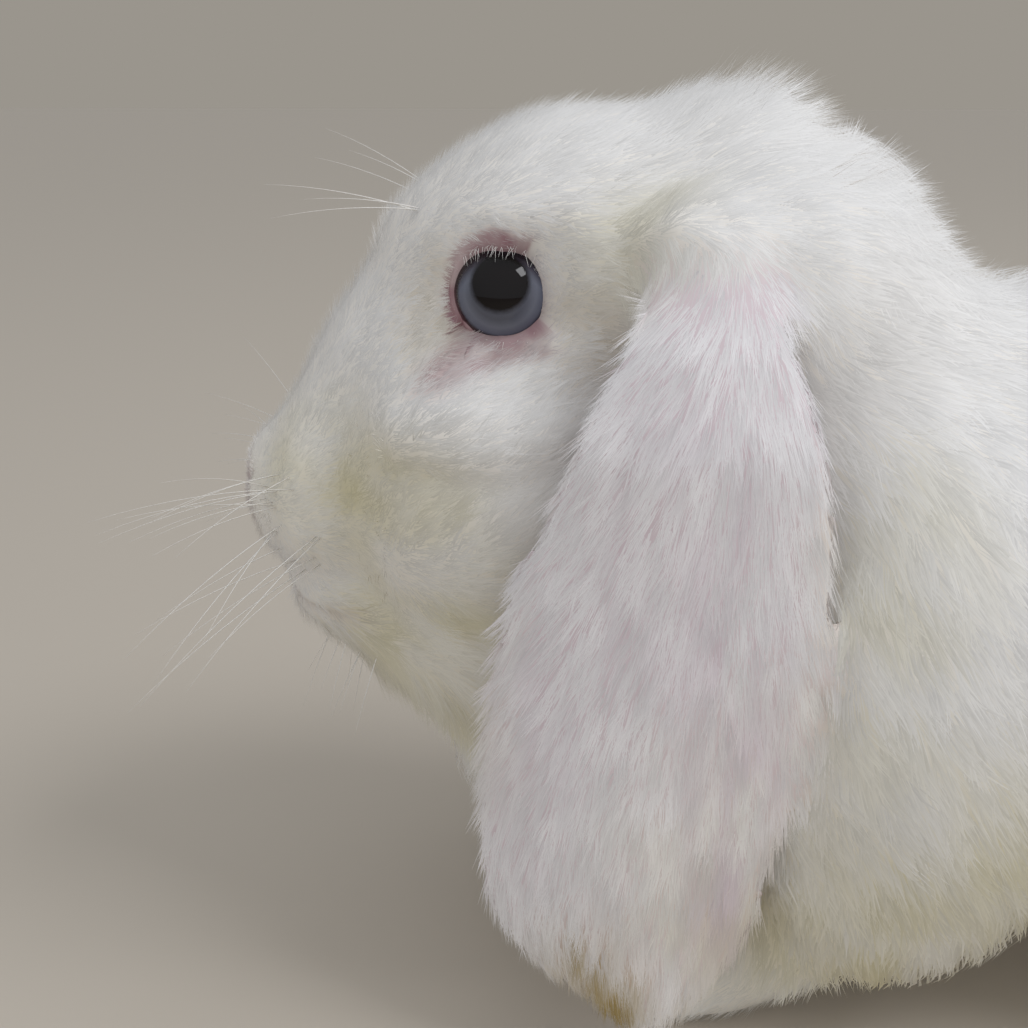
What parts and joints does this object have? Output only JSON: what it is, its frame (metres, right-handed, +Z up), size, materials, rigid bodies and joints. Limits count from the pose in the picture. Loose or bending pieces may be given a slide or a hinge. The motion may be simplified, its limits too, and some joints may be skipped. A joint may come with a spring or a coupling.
{
  "type": "lop rabbit",
  "caption": "White lop-eared rabbit crouched at rest with hanging ears and blue eyes, a life-size still model.",
  "frame": {"origin": "middle of the length and width, on the floor under the feet", "axes": "+Z up, the rabbit faces -Y, its left side is at +X"},
  "size_m": [0.1627, 0.3291, 0.1666],
  "materials": {
    "coat": "dense white fur, soft and dull",
    "ear_coat": "short white fur with the pink skin showing through",
    "eye": "wet, clear cornea over a blue-grey iris",
    "claw": "pale horn"
  },
  "bodies": {
    "root": {"claw_fore_left_1": "claw", "claw_fore_left_2": "claw", "claw_fore_left_3": "claw", "claw_fore_left_4": "claw", "claw_fore_right_1": "claw", "claw_fore_right_2": "claw", "claw_fore_right_3": "claw", "claw_fore_right_4": "claw", "claw_hind_left_1": "claw", "claw_hind_left_2": "claw", "claw_hind_left_3": "claw", "claw_hind_left_4": "claw", "claw_hind_right_1": "claw", "claw_hind_right_2": "claw", "claw_hind_right_3": "claw", "claw_hind_right_4": "claw", "ear_left": "ear_coat", "ear_right": "ear_coat", "eye_left": "eye", "eye_right": "eye", "foreleg_left": "coat", "foreleg_right": "coat", "forepaw_left": "coat", "forepaw_right": "coat", "head": "coat", "hindfoot_left": "coat", "hindfoot_right": "coat", "neck": "coat", "tail": "coat", "thigh_left": "coat", "thigh_right": "coat", "trunk": "coat"}
  },
  "joints": []
}
